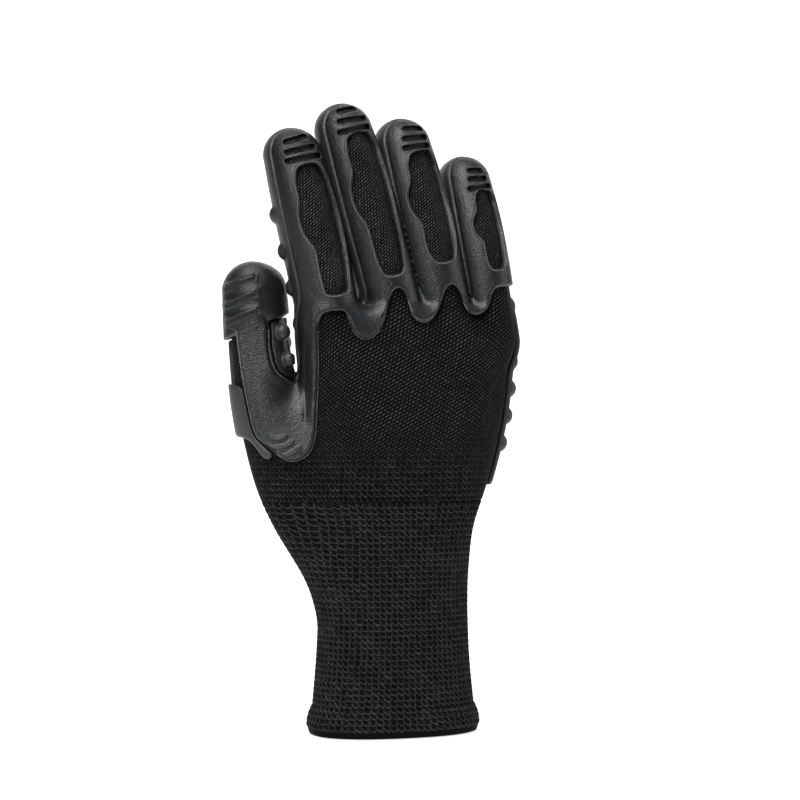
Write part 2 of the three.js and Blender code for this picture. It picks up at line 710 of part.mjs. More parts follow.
// Materials and the finished glove

const blackKnit = new THREE.MeshStandardMaterial({ color: 0x1d1d1e, roughness: 0.92, metalness: 0 });
const cuffKnit = new THREE.MeshStandardMaterial({ color: 0x202122, roughness: 0.9, metalness: 0 });
const hemKnit = new THREE.MeshStandardMaterial({ color: 0x18181a, roughness: 0.88, metalness: 0 });
const guardRubber = new THREE.MeshStandardMaterial({ color: 0x26282a, roughness: 0.42, metalness: 0 });
const palmRubber = new THREE.MeshStandardMaterial({ color: 0x2a2b2b, roughness: 0.58, metalness: 0 });

const glove = new THREE.Group();

function addPiece(name, solid, material) {
  const mesh = new THREE.Mesh(toGeometry(solid), material);
  mesh.name = name;
  glove.add(mesh);
}

addPiece("cuff_hem", cuffHem, hemKnit);
addPiece("knit_cuff", knitCuff, cuffKnit);
addPiece("knit_hand", knitHand, blackKnit);
fingers.forEach((finger, k) => addPiece(`knit_${finger.name}`, fingerStalls[k], blackKnit));
addPiece("knit_thumb", thumbStall, blackKnit);
addPiece("back_guard", backGuard, guardRubber);
addPiece("palm_shell", palmShell, palmRubber);

export default glove;
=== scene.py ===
import math

import bpy
import numpy as np
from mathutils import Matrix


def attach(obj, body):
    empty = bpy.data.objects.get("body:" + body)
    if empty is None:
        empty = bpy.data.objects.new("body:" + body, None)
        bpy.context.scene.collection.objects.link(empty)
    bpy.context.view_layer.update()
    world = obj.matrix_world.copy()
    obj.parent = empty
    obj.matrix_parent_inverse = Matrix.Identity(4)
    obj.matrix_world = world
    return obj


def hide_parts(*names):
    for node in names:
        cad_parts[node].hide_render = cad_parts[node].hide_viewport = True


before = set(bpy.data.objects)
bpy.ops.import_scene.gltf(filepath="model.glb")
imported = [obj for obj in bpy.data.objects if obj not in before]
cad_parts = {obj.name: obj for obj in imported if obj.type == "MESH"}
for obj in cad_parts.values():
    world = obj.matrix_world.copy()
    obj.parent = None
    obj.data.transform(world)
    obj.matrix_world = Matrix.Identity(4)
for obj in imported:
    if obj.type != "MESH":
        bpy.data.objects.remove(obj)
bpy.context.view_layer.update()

# ---------------------------------------------------------------------------------------------------
# Knitted cuff. The real one is a seamless ribbed tube of black polyester yarn, knitted as an open mesh
# of courses (rows) and wales (columns) that draws in round the wrist and opens over the foot of the
# thumb. All lengths in this file are in millimetres until a mesh is made.

KNUCKLES = 172.0  # height of the fingers' roots
KNIT_WALL = 1.4
SHELL_IN, SHELL_OUT = 1.7, 4.1  # the rubber's inside and outside, from the hand
PADDING = 1.6  # how much farther the rubber stands out on the palm's side


def smooth_table(knots, *rows):
    """A dense table through the rows' values at the knots: cubic pieces whose slope at a knot is the
    line between its two neighbours. np.interp reads it at any height."""
    knots = np.array(knots, float)
    at = np.linspace(knots[0], knots[-1], 600)
    piece = np.clip(np.searchsorted(knots, at, side="right") - 1, 0, len(knots) - 2)
    span = knots[piece + 1] - knots[piece]
    t = (at - knots[piece]) / span
    table = [at]
    for row in rows:
        row = np.array(row, float)
        slope = np.gradient(row, knots)
        table.append((2 * t**3 - 3 * t**2 + 1) * row[piece] + (t**3 - 2 * t**2 + t) * span * slope[piece]
                     + (3 * t**2 - 2 * t**3) * row[piece + 1] + (t**3 - t**2) * span * slope[piece + 1])
    return table


# height, sideways place, half width and half depth of the palm and wrist that fill the glove
PALM_Z, PALM_X, PALM_W, PALM_D = smooth_table(
    [0, 37.8, 68.8, 86, 103.2, 139.3, 160, 172],
    [-0.7, -0.9, -0.5, 0.0, 0.7, 4.4, 5.7, 5.4],
    [34.2, 30.8, 30.5, 32.3, 37.8, 42.6, 42.8, 42.2],
    [20.5, 20.5, 20.1, 19.7, 18.0, 16.2, 15.0, 14.1])
SQUARENESS = 2.3

# the thumb's middle line by height, with its radius
THUMB_TIP = 183.9
THUMB_Z, THUMB_X, THUMB_Y, THUMB_R = smooth_table(
    [67, 83.6, 102.5, 122.5, 142.6, 159.1, THUMB_TIP],
    [-21.2, -34.2, -44.2, -50.8, -55.2, -57.3, -59.0],
    [0.0, 2.4, 5.3, 7.1, 8.3, 9.2, 9.5],
    [11.9, 11.9, 11.7, 10.8, 9.8, 8.85, 8.0])
THUMB_DX = np.gradient(THUMB_X, THUMB_Z)
THUMB_DY = np.gradient(THUMB_Y, THUMB_Z)

# Each finger's root, lean (sideways over height), length and half width; the side, in degrees, that its
# back faces; and how far towards the palm the two rubber halves meet on it
FINGERS = {
    "index": dict(root=-29.1, lean=-0.2, length=68.7, half=8.82, face=12, seam=2.6),
    "middle": dict(root=-0.8, lean=-0.25, length=79.8, half=8.65, face=13, seam=3.6),
    "ring": dict(root=20.9, lean=-0.21, length=74.7, half=8.4, face=16, seam=3.4),
    "little": dict(root=42.3, lean=-0.15, length=60.8, half=7.14, face=20, seam=2.4),
}
CURL = 8.0  # how far a fingertip bends towards the palm


def soft_min(a, b, blend):
    """The smaller of two distances, with a fillet of about that size where they meet."""
    return np.minimum(a, b) - np.maximum(blend - np.abs(a - b), 0) ** 2 / (4 * blend)


def soft_max(a, b, blend):
    return -soft_min(-a, -b, blend)


def ramp(a, low, high):
    """0 below low, 1 above high, and a smooth S between."""
    t = np.clip((a - low) / (high - low), 0, 1)
    return t * t * (3 - 2 * t)


def palm_distance(x, y, z):
    """Distance to the palm's surface: a superellipse section whose sizes follow the height, closed by a
    rounded top over the knuckles. Returns it and how far the point lies towards the palm's side."""
    centre, wide, deep = (np.interp(z, PALM_Z, row) for row in (PALM_X, PALM_W, PALM_D))
    a, b = np.abs((x - centre) / wide) + 1e-6, np.abs(y / deep) + 1e-6
    ap, bp = a ** (SQUARENESS - 1), b ** (SQUARENESS - 1)
    rho = (a * ap + b * bp) ** (1 / SQUARENESS)
    side = (rho - 1) * rho ** (SQUARENESS - 1) / np.sqrt((ap / wide) ** 2 + (bp / deep) ** 2)
    front = np.clip(y / deep, 0, 1)
    return soft_max(side, z - KNUCKLES + 1.5 * front, 6 + 14 * front), y / deep


def finger_place(finger, x, y, z):
    """Along the finger from its root, across it towards the little finger, and depth towards the palm."""
    f = FINGERS[finger]
    n = math.hypot(f["lean"], 1)
    dx, dz = x - f["root"], z - KNUCKLES
    along = (dx * f["lean"] + dz) / n
    across = (dx - dz * f["lean"]) / n
    t = np.clip(along / (f["length"] * n), 0, 1.2)
    depth = (y + CURL / 3 - CURL * t * t) / np.sqrt(1 + (2 * CURL * t / (f["length"] * n)) ** 2)
    return along, across, depth


FINGER_T, FINGER_SIZE = smooth_table([-0.2, 0.2, 0.6, 0.85, 1.0], [1.0, 1.01, 1.03, 0.965, 0.89])
OVAL = 1.07  # a finger's depth over its width


def finger_distance(finger, along, across, depth):
    """Distance to an oval tube along the finger's line, closed by a half ball at the tip."""
    f = FINGERS[finger]
    reach = f["length"] * math.hypot(f["lean"], 1)
    wide = f["half"] * np.interp(along / reach, FINGER_T, FINGER_SIZE)
    deep = wide * OVAL
    end = np.maximum(along - reach, 0) + np.maximum(-0.12 * reach - along, 0)
    rho = np.sqrt((across / wide) ** 2 + (depth / deep) ** 2 + (end / wide) ** 2) + 1e-6
    grad = np.sqrt((across / wide**2) ** 2 + (depth / deep**2) ** 2 + (end / wide**2) ** 2) + 1e-9
    return (rho - 1) * rho / grad


def thumb_place(x, y, z):
    """Height of the nearest point of the thumb's line, found by Newton steps, and the way from it."""
    s = np.clip(z, THUMB_Z[0], THUMB_TIP)
    for _ in range(3):
        px, py, dx, dy = (np.interp(s, THUMB_Z, row) for row in (THUMB_X, THUMB_Y, THUMB_DX, THUMB_DY))
        s = np.clip(s + ((x - px) * dx + (y - py) * dy + z - s) / (1 + dx * dx + dy * dy), THUMB_Z[0], THUMB_TIP)
    return s, x - np.interp(s, THUMB_Z, THUMB_X), y - np.interp(s, THUMB_Z, THUMB_Y), z - s


def hand(x, y, z, parts=False):
    """Distance to the hand that fills the glove: the palm, fingers and thumb joined with webs. With
    parts it also gives the outer distance, which stands out by the padding on the palm's side, and
    the separate distances and places of the digits."""
    palm, front = palm_distance(x, y, z)
    s, tx, ty, tz = thumb_place(x, y, z)
    far = np.sqrt(tx * tx + ty * ty + tz * tz) + 1e-6
    thumb = far - np.interp(s, THUMB_Z, THUMB_R)
    places = {name: finger_place(name, x, y, z) for name in FINGERS}
    single = {name: finger_distance(name, *places[name]) for name in FINGERS}
    web = 0.7 + 4.3 * (1 - ramp(z, KNUCKLES + 3, KNUCKLES + 15))
    crotch = 0.8 + 14 * (1 - ramp(z, 132, 153))
    fronts = [front, *(places[name][2] / (FINGERS[name]["half"] * OVAL) for name in FINGERS),
              (0.77 * tx + 0.64 * ty) / 9]

    def join(distances):
        together = distances[1]
        for d in distances[2:5]:
            together = soft_min(together, d, web)
        return soft_min(soft_min(together, distances[0], 2 + web), distances[5], crotch)

    all_of = [palm, *single.values(), thumb]
    inner = join(all_of)
    if not parts:
        return inner
    outer = join([d - PADDING * np.clip(towards, 0, 1) ** 2 for d, towards in zip(all_of, fronts)])
    return inner, outer, dict(palm=palm, thumb=thumb, single=single, places=places, s=s, tx=tx, ty=ty, tz=tz)


def new_mesh(name, points, faces, material, uv=None, **attributes):
    """A mesh object in metres from points in millimetres, with one UV pair and one value per vertex."""
    mesh = bpy.data.meshes.new(name)
    mesh.vertices.add(len(points))
    mesh.vertices.foreach_set("co", (np.asarray(points, np.float32) * 0.001).ravel())
    mesh.loops.add(faces.size)
    mesh.loops.foreach_set("vertex_index", faces.ravel().astype(np.int32))
    mesh.polygons.add(len(faces))
    mesh.polygons.foreach_set("loop_start", np.arange(0, faces.size, faces.shape[1], dtype=np.int32))
    mesh.polygons.foreach_set("use_smooth", np.ones(len(faces), bool))
    if uv is not None:
        mesh.uv_layers.new(name="Yarn").data.foreach_set("uv", uv[faces.ravel()].astype(np.float32).ravel())
    for key, values in attributes.items():
        mesh.attributes.new(key, "FLOAT", "POINT").data.foreach_set("value", np.asarray(values, np.float32))
    mesh.update(calc_edges=True)
    mesh.validate()
    mesh.materials.append(material)
    piece = bpy.data.objects.new(name, mesh)
    bpy.context.scene.collection.objects.link(piece)
    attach(piece, "root")
    return piece


def tube_faces(rows, columns):
    """Quads of a grid of rows x columns that closes round its columns and round its rows."""
    r, c = np.meshgrid(np.arange(rows), np.arange(columns), indexing="ij")
    up, on = (r + 1) % rows, (c + 1) % columns
    return np.stack([r * columns + c, r * columns + on, up * columns + on, up * columns + c], -1).reshape(-1, 4)


class Value:
    """One shader socket. Arithmetic on it adds the Math nodes that work the expression out."""

    def __init__(self, tree, socket):
        self.tree, self.socket = tree, socket

    def maths(self, operation, *others):
        return self.tree.node("ShaderNodeMath", {"operation": operation}, self, *others)

    def __add__(self, o): return self.maths("ADD", o)
    def __sub__(self, o): return self.maths("SUBTRACT", o)
    def __mul__(self, o): return self.maths("MULTIPLY", o)
    def __truediv__(self, o): return self.maths("DIVIDE", o)
    def __pow__(self, o): return self.maths("POWER", o)
    def __rsub__(self, o): return self.tree.node("ShaderNodeMath", {"operation": "SUBTRACT"}, o, self)
    __radd__, __rmul__ = __add__, __mul__

    def step(self, low, high):
        """0 below low, 1 above high, smooth between."""
        return self.tree.node("ShaderNodeMapRange", {"interpolation_type": "SMOOTHSTEP"},
                              self, low, high, 0.0, 1.0)


class Finish:
    """A procedural material with one Principled shader, whose fixed numbers are set on its sockets."""

    def __init__(self, name, **fixed):
        self.material = bpy.data.materials.new(name)
        self.material.use_nodes = True
        self.nodes, self.links = self.material.node_tree.nodes, self.material.node_tree.links
        self.shader = next(n for n in self.nodes if n.type == "BSDF_PRINCIPLED")
        for key, number in fixed.items():
            self.shader.inputs[key.replace("_", " ")].default_value = number

    def node(self, kind, settings, *values, out=0, **named):
        """Adds a node, sets its settings, then its sockets by order or by name, and gives one output."""
        node = self.nodes.new(kind)
        for key, setting in settings.items():
            if key == "stops":
                ramp_of = node.color_ramp
                while len(ramp_of.elements) < len(setting):
                    ramp_of.elements.new(0.5)
                for element, (place, colour) in zip(ramp_of.elements, setting):
                    element.position, element.color = place, (*colour, 1)
            else:
                setattr(node, key, setting)
        for key, value in [*enumerate(values), *((k.replace("_", " "), v) for k, v in named.items())]:
            if isinstance(value, Value):
                self.links.new(value.socket, node.inputs[key])
            elif value is not None:
                node.inputs[key].default_value = value
        return Value(self, node.outputs[out])

    def place(self, scale=1000.0):
        """Object coordinates, in millimetres by default."""
        here = self.node("ShaderNodeTexCoord", {}, out="Object")
        return self.node("ShaderNodeVectorMath", {"operation": "SCALE"}, here, Scale=scale)

    def noise(self, where, scale, detail=3.0, rough=0.55):
        return self.node("ShaderNodeTexNoise", {}, Vector=where, Scale=scale, Detail=detail, Roughness=rough)

    def mix(self, share, a, b):
        """A colour between a and b."""
        node = self.nodes.new("ShaderNodeMix")
        node.data_type = "RGBA"
        for key, value in ((0, share), (6, a), (7, b)):
            if isinstance(value, Value):
                self.links.new(value.socket, node.inputs[key])
            else:
                node.inputs[key].default_value = value if key == 0 else (*value, 1)
        return Value(self, node.outputs[2])

    def bump(self, height, distance, strength=1.0):
        return self.node("ShaderNodeBump", {}, Strength=strength, Distance=distance, Height=height)

    def finish(self, **sockets):
        for key, value in sockets.items():
            self.links.new(value.socket, self.shader.inputs[key.replace("_", " ")])
        return self.material


WALES = 70  # stitches round the cuff
COURSE = 2.4  # height of a row of stitches
CUFF_LOW, CUFF_HIGH = 10.8, 96.7
YARN_RISE = 0.5  # how far the yarn stands out of the net's holes
LINING = 0.05  # gap between a knit's inside and the hand


def cuff_wall(turn, height, offset):
    """A point of the cuff: it goes out from the wrist's middle in the superellipse's direction at that
    turn, by steps of the distance to the hand, until it is offset away from the hand."""
    centre, wide, deep = (np.interp(height, PALM_Z, row) for row in (PALM_X, PALM_W, PALM_D))
    c, s = np.cos(turn), np.sin(turn)
    dx = wide * np.sign(c) * np.abs(c) ** (2 / SQUARENESS)
    dy = deep * np.sign(s) * np.abs(s) ** (2 / SQUARENESS)
    size = np.hypot(dx, dy)
    reach = size + offset
    for _ in range(14):
        x, y = centre + dx / size * reach, dy / size * reach
        reach = reach + 0.85 * (offset - hand(x, y, height))
    return np.stack([centre + dx / size * reach, dy / size * reach, height], -1)


def wale_turns(columns):
    """The turns of columns spread evenly round the wrist: the superellipse's length is added up in small
    steps from the middle of the palm's side and shared out."""
    t = np.linspace(0.5, 2.5, 4001) * np.pi
    wrist_wide, wrist_deep = 31, 20.3
    x, y = (size * np.sign(c) * np.abs(c) ** (2 / SQUARENESS)
            for size, c in ((wrist_wide, np.cos(t)), (wrist_deep, np.sin(t))))
    walked = np.concatenate([[0], np.cumsum(np.hypot(np.diff(x), np.diff(y)))])
    return np.interp(np.arange(columns) / columns, walked / walked[-1], t)


def net_relief(wale, course):
    """Relief of the open net, 0 in a hole and 1 on a yarn: in each cell the yarn lies as a hook that rises
    to the right, and stands up at the cell's sides."""
    across = wale - np.floor(wale) - 0.5
    lifted = course + 0.46 * across - 0.7 * across**2
    up = lifted - np.floor(lifted) - 0.5
    return np.maximum(np.exp(-((up / 0.2) ** 2)), 0.6 * np.exp(-(((0.5 - np.abs(across)) / 0.15) ** 2)))


def cuff_grid():
    """Rows of points up the outside of the cuff, with the net's relief on it, and down its inside. The
    lowest rows are tucked behind the hem."""
    rows, columns, inner_rows = 5 * round((CUFF_HIGH - CUFF_LOW) / COURSE) + 1, 6 * WALES, 12
    turn = wale_turns(columns)
    h, t = np.meshgrid(np.linspace(CUFF_LOW, CUFF_HIGH, rows), turn, indexing="ij")
    wale = np.broadcast_to(np.arange(columns) / columns * WALES, h.shape)
    relief = net_relief(wale, h / COURSE) * ramp(h, CUFF_LOW, CUFF_LOW + 1.2)
    tucked = 0.5 * (h < CUFF_LOW + 0.7)
    outer = cuff_wall(t, h, KNIT_WALL - 0.3 + YARN_RISE * relief - tucked)
    hi, ti = np.meshgrid(np.linspace(CUFF_HIGH, CUFF_LOW, inner_rows), turn, indexing="ij")
    inner = cuff_wall(ti, hi, np.full_like(hi, LINING))
    points = np.concatenate([outer.reshape(-1, 3), inner.reshape(-1, 3)])
    uv = np.stack([np.concatenate([wale.ravel(), np.broadcast_to(wale[0], hi.shape).ravel()]),
                   np.concatenate([h.ravel(), hi.ravel()]) / COURSE], -1)
    return points, tube_faces(rows + inner_rows, columns), uv


# The hole colour is painted black shade in the net's holes; the yarn grey is where the yarn stands up, lit by
# painted light.
HOLE_PAINTED_SHADE = (0.0008, 0.0008, 0.0009)
YARN_GREY = (0.036, 0.036, 0.036)
YARN_SHEEN = dict(Sheen_Weight=0.01, Sheen_Roughness=0.5, Specular_IOR_Level=0.04)


def net_height(f, here, wale, course):
    """The net in the finish: a lying hook of yarn in each cell, a fainter one behind it between the rows,
    and a thin upright yarn at the cell's side, all thin and uneven. Each stitch stands out a little more
    or less by chance."""
    wave = f.noise(here, 0.55, 2.0, 0.6) - 0.5
    course = course + wave * 0.55
    wale = wale + wave * 0.4
    column = wale.maths("FLOOR")
    across = wale - column - 0.5
    lifted = course + across * 0.5 - across * across * 0.9
    row = lifted.maths("FLOOR")
    up = lifted - row - 0.5
    spot = f.node("ShaderNodeCombineXYZ", {}, column, row, 0.0)
    chance = f.node("ShaderNodeTexWhiteNoise", {"noise_dimensions": "2D"}, spot)
    lying = (1 - (up / 0.2) ** 2).maths("MAXIMUM", 0.0) * (0.55 + 0.45 * chance)
    behind = (1 - ((up.maths("ABSOLUTE") - 0.5) / 0.14) ** 2).maths("MAXIMUM", 0.0) * 0.45 * chance
    upright = (1 - ((across.maths("ABSOLUTE") - 0.5) / 0.13) ** 2).maths("MAXIMUM", 0.0) * 0.55
    return lying.maths("MAXIMUM", behind).maths("MAXIMUM", upright)


def cuff_finish(name):
    """Black yarn: soft, almost without gloss. Its colour carries painted light and shade: greyer where the yarn
    stands up and painted black shade in the holes. The net starts above the mouth's rolled edge, which is plain
    and dark."""
    f = Finish(name, Roughness=0.8, **YARN_SHEEN)
    uv = f.node("ShaderNodeUVMap", {"uv_map": "Yarn"})
    here = f.place()
    fuzz = f.noise(here, 2.0, 4.0, 0.7)
    drift = (f.noise(here, 0.12, 2.0) - 0.5) * 0.5
    wale = f.node("ShaderNodeSeparateXYZ", {}, uv) + drift
    course = f.node("ShaderNodeSeparateXYZ", {}, uv, out=1)
    height = net_height(f, here, wale, course + drift) * course.step(0.9, 1.5)
    # Painted light and shade: the colour follows the yarn's height, black in the holes and grey on the raised
    # yarn.
    shade = (height + 0.1) * (0.35 + 1.1 * fuzz) * (0.75 + 0.5 * f.noise(here, 0.045, 2.0))
    colour = f.mix(shade.step(0.0, 1.1), HOLE_PAINTED_SHADE, YARN_GREY)
    return f.finish(Base_Color=colour, Normal=f.bump(height * 0.5 + 0.15 * fuzz, 0.001, 0.8))


points, faces, uv = cuff_grid()
cuff = new_mesh("wrist_cuff", points, faces, cuff_finish("cuff_yarn"), uv)
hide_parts("knit_cuff")

# ---------------------------------------------------------------------------------------------------
# Rolled hem. The cuff's mouth is the same net turned under and bound with an elastic yarn, so that it
# makes a soft ring that swells out and flares a little at its sides, with a plain dark edge below.

HEM_HIGH, HEM_SWELL = 12.0, 2.0


def hem_grid():
    """A closed profile (swell over height, then back up the inside) carried round the cuff's mouth, with
    the net's relief on its outside."""
    rows, columns, outer_share = 44, 8 * WALES, 0.76
    s = np.linspace(0, 1, rows, endpoint=False)
    out = s < outer_share
    climb = HEM_HIGH * np.where(out, s / outer_share, 1 - (s - outer_share) / (1 - outer_share))
    share = climb / HEM_HIGH
    bulge = np.sin(np.pi * np.clip(share, 0, 1)) ** 0.7 * (1 - 0.35 * share)
    swell = np.where(out, KNIT_WALL + HEM_SWELL * bulge, LINING)
    swell[0] = KNIT_WALL / 2
    h, t = np.meshgrid(climb, wale_turns(columns), indexing="ij")
    wale = np.broadcast_to(np.arange(columns) / columns * WALES, h.shape)
    outside = np.repeat(out[:, None], columns, 1)
    relief = net_relief(wale, h / COURSE) * ramp(h, 2.4, 4.0)
    points = cuff_wall(t, h, swell[:, None] + np.where(outside, YARN_RISE * (relief - 0.5), 0))
    uv = np.stack([wale.ravel(), np.where(outside, h, 0).ravel() / COURSE], -1)
    return points.reshape(-1, 3), tube_faces(rows, columns), uv


points, faces, uv = hem_grid()
hem = new_mesh("rolled_hem", points, faces, cuff_finish("hem_yarn"), uv)
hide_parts("cuff_hem")

# ---------------------------------------------------------------------------------------------------
# Liner: the hand and its five finger stalls, one seamless knit of black yarn. It shows on the back of the
# hand and through the windows. The branched form is no single grid, so it is the level surface of the
# distance to the hand, taken on a lattice and moved onto the formula.

PITCH = 0.63  # the lattice's step
LOW = np.array([-78.0, -25.0, 96.2])
COUNT = np.array([220, 90, 278])


def lattice_hand():
    """The distance to the hand at every point of the lattice, one layer of heights after another."""
    x = LOW[0] + PITCH * np.arange(COUNT[0])
    y = LOW[1] + PITCH * np.arange(COUNT[1])
    X, Y = np.meshgrid(x, y, indexing="ij")
    values = np.empty(tuple(COUNT), np.float32)
    for k in range(0, COUNT[2], 16):
        z = LOW[2] + PITCH * np.arange(k, min(k + 16, COUNT[2]))
        X3, Y3, Z3 = (np.broadcast_to(a, (*X.shape, len(z))) for a in (X[..., None], Y[..., None], z))
        values[:, :, k:k + len(z)] = hand(X3, Y3, Z3)
    return values


def level_surface(field, near, every=1, settle=3, buried=None):
    """The surface where field is 0. Lattice points whose distance to the hand lies in near are read, and
    the rest count as outside. A point unlike all its neighbours takes their side. Each cell that the
    surface crosses gets one vertex, the mean of its crossings, and each crossed lattice edge one quad;
    then Newton steps move the vertices onto field. Quads that lie nearer to the hand than buried, where
    nothing shows them, are left out."""
    distance = HAND[::every, ::every, ::every]
    pitch = PITCH * every
    values = np.full(distance.shape, 1.0, np.float32)
    at = np.nonzero((distance > near[0]) & (distance < near[1]))
    values[at] = field(*(LOW[a] + pitch * at[a] for a in range(3)))
    inside = values < 0
    lone = np.ones(inside.shape, bool)
    for axis in range(3):
        for step in (-1, 1):
            lone &= np.roll(inside, step, axis) != inside
    values = np.where(lone, -values, values)
    inside ^= lone
    n = np.array(values.shape) - 1
    corner = [(i, j, k) for i in (0, 1) for j in (0, 1) for k in (0, 1)]
    count = sum(inside[tuple(slice(c[a], n[a] + c[a]) for a in range(3))].astype(np.int8) for c in corner)
    active = (count > 0) & (count < 8)
    cell = np.stack(np.nonzero(active), -1)
    number = np.full(active.shape, -1, np.int64)
    number[active] = np.arange(len(cell))
    total, hits = np.zeros((len(cell), 3)), np.zeros(len(cell))
    for a in corner:
        for axis in range(3):
            if a[axis]:
                continue
            b = tuple(v + (i == axis) for i, v in enumerate(a))
            va, vb = (values[tuple((cell + c).T)] for c in (a, b))
            crossed = (va < 0) != (vb < 0)
            where = np.tile(np.array(a, float), (len(cell), 1))
            where[:, axis] += va / np.where(crossed, va - vb, 1)
            total += where * crossed[:, None]
            hits += crossed
    points = LOW + pitch * (cell + total / hits[:, None])
    quads = []
    for axis in range(3):
        one, two = (axis + 1) % 3, (axis + 2) % 3
        low = [slice(1, -1)] * 3
        low[axis] = slice(0, -1)
        high = list(low)
        high[axis] = slice(1, None)
        start = inside[tuple(low)]
        edge = np.nonzero(start != inside[tuple(high)])
        node = np.stack(edge, -1) + 1
        node[:, axis] -= 1
        unit = np.eye(3, dtype=int)
        ring = np.stack([number[tuple((node - o).T)] for o in
                         (0 * unit[one], unit[one], unit[one] + unit[two], unit[two])], -1)
        turn = start[edge]
        ring[~turn] = ring[~turn][:, ::-1]
        quads.append(ring)
    quads = np.concatenate(quads)
    nudge = 0.05
    for _ in range(settle):
        f0 = field(*points.T)
        slope = np.stack([(field(*(points + nudge * np.eye(3)[a]).T) - f0) / nudge for a in range(3)], -1)
        steep = np.maximum((slope**2).sum(-1), 0.15)
        points = points - np.clip(f0 / steep, -0.4 * pitch, 0.4 * pitch)[:, None] * slope
    if buried:
        quads = quads[~(hand(*points.T) < buried)[quads].all(-1)]
        used, quads = np.unique(quads, return_inverse=True)
        points, quads = points[used], quads.reshape(-1, 4)
    return points, quads


HAND = lattice_hand()
STALL_STARTS = (180, 188.5, 192, 190.5)  # heights where the fingers' own knit starts, index to little
THUMB_START = 144.5


def liner_field(x, y, z):
    """Inside the knit: up to KNIT_WALL off the hand, and as deep into it as the lattice needs, above the
    cuff."""
    h = hand(x, y, z)
    return soft_max(soft_max(h - KNIT_WALL, -1.4 - h, 0.3), CUFF_HIGH + 0.05 - z, 0.05)


def yarn_place(points):
    """Two lengths in millimetres that follow the knit: round and along each digit, and across and up the
    palm. The digits' knit starts where the rubber hides its joint with the palm's."""
    x, y, z = points.T
    _, _, p = hand(x, y, z, parts=True)
    centre, deep = np.interp(z, PALM_Z, PALM_X), np.interp(z, PALM_Z, PALM_D)
    side = x - centre
    u = side + np.sign(side) * np.maximum(y + deep, 0) * ramp(np.abs(side), 20, 40)
    v = z.copy()
    for (name, (along, across, depth)), start in zip(p["places"].items(), STALL_STARTS):
        mine = (z > start) & (p["single"][name] <= np.min(list(p["single"].values()), 0) + 1e-6)
        turn = np.arctan2(across, -depth)
        u, v = np.where(mine, turn * 10.5, u), np.where(mine, along + 180, v)
    mine = (z > THUMB_START) & (p["thumb"] < p["palm"]) & (p["thumb"] < p["single"]["index"])
    turn = np.arctan2(p["tx"], -p["ty"])
    return np.stack([np.where(mine, turn * 11, u), np.where(mine, p["s"], v)], -1)


def liner_finish():
    """Bean stitches in slanting rows. Each cell of a turned brick lattice holds one stitch: a slanting
    oval of yarn, raised and painted lighter, with painted black shade in the gap round it, and a painted highlight
    that makes some stitches lighter by chance. The fingers' stitches are smaller. Towards the cuff the rows open
    into its net."""
    f = Finish("liner_yarn", Roughness=0.75, **YARN_SHEEN)
    uv = f.node("ShaderNodeUVMap", {"uv_map": "Yarn"})
    u = f.node("ShaderNodeSeparateXYZ", {}, uv)
    v = f.node("ShaderNodeSeparateXYZ", {}, uv, out=1)
    here = f.place()
    slant, stitch, row_high = 0.50, 2.1, 1.35
    finger = v.step(185.0, 190.0)
    drift = (f.noise(here, 0.09, 2.0) - 0.5) * 1.6 + (f.noise(here, 0.5, 2.0) - 0.5) * (0.5 + 1.6 * finger)
    u, v = u * (1 + 0.3 * finger), v + (v - 190) * (0.3 * finger)
    a = u * math.cos(slant) + v * math.sin(slant) + drift
    b = v * math.cos(slant) - u * math.sin(slant)
    row = (b / row_high).maths("FLOOR")
    up = (b / row_high - row - 0.5) * row_high
    shifted = a / stitch + row * 0.43
    cell = shifted.maths("FLOOR")
    on = (shifted - cell - 0.5) * stitch
    long = on * 0.985 + up * 0.17
    thick = up * 0.985 - on * 0.17
    oval = 1 - (long / 1.08) ** 2 - (thick / 0.44) ** 2
    bean = oval.maths("MAXIMUM", 0.0) ** 0.6
    spot = f.node("ShaderNodeCombineXYZ", {}, cell, row, 0.0)
    chance = f.node("ShaderNodeTexWhiteNoise", {"noise_dimensions": "2D"}, spot)
    fuzz = f.noise(here, 2.4, 4.0)
    wide = f.noise(here, 0.06, 2.0)
    net = net_height(f, here, u / 2.6 + 35 + drift * 0.15, v / COURSE + drift * 0.15)
    open_share = 1 - v.step(97.0, 136.0)
    height = bean * (1 - open_share) + net * open_share
    # Painted light and shade: raised stitches lighter, gaps painted black, and chance adds a painted highlight to
    # some stitches.
    bean_light = 0.26 + (chance ** 2.0) * 0.2 + 0.3 * fuzz
    net_light = 0.24 + 0.5 * fuzz
    light = bean_light * (1 - open_share) + net_light * open_share
    shade = height * light * (0.6 + 0.8 * wide) * (1 + 0.5 * finger)
    colour = f.mix(shade.step(0.0, 1.1), (0.0010, 0.0010, 0.0011), (0.094, 0.093, 0.091))
    return f.finish(Base_Color=colour, Normal=f.bump(height + 0.25 * fuzz, 0.00055, 1.0))


points, faces = level_surface(liner_field, (-4, 5), every=2, settle=4)
liner = new_mesh("hand_liner", points, faces, liner_finish(), yarn_place(points))
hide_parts("knit_hand", "knit_index", "knit_middle", "knit_ring", "knit_little", "knit_thumb")

# ---------------------------------------------------------------------------------------------------
# Back guard. Moulded black rubber over the backs of the fingers, with knit showing through a window on
# each, three blind slots near each fingertip, lobes that hang between the knuckles, and a strip down the
# forefinger's side to a fan-shaped pad, from which a plate runs up the thumb to a ribbed cap.

FACE = math.radians(-18)  # the side from which the glove is seen, turned from the back of the hand
RIGHT = (math.cos(FACE), math.sin(FACE))  # sideways, as seen from there


def closed_curve(corners, steps=8):
    """A smooth closed line through the corners (Catmull-Rom)."""
    p = np.array(corners, float)
    before, after, beyond = np.roll(p, 1, 0), np.roll(p, -1, 0), np.roll(p, -2, 0)
    t = (np.arange(steps) / steps)[None, :, None]
    curve = 0.5 * (2 * p[:, None] + (after - before)[:, None] * t
                   + (2 * before - 5 * p + 4 * after - beyond)[:, None] * t**2
                   + (3 * p - before - 3 * after + beyond)[:, None] * t**3)
    return curve.reshape(-1, 2)


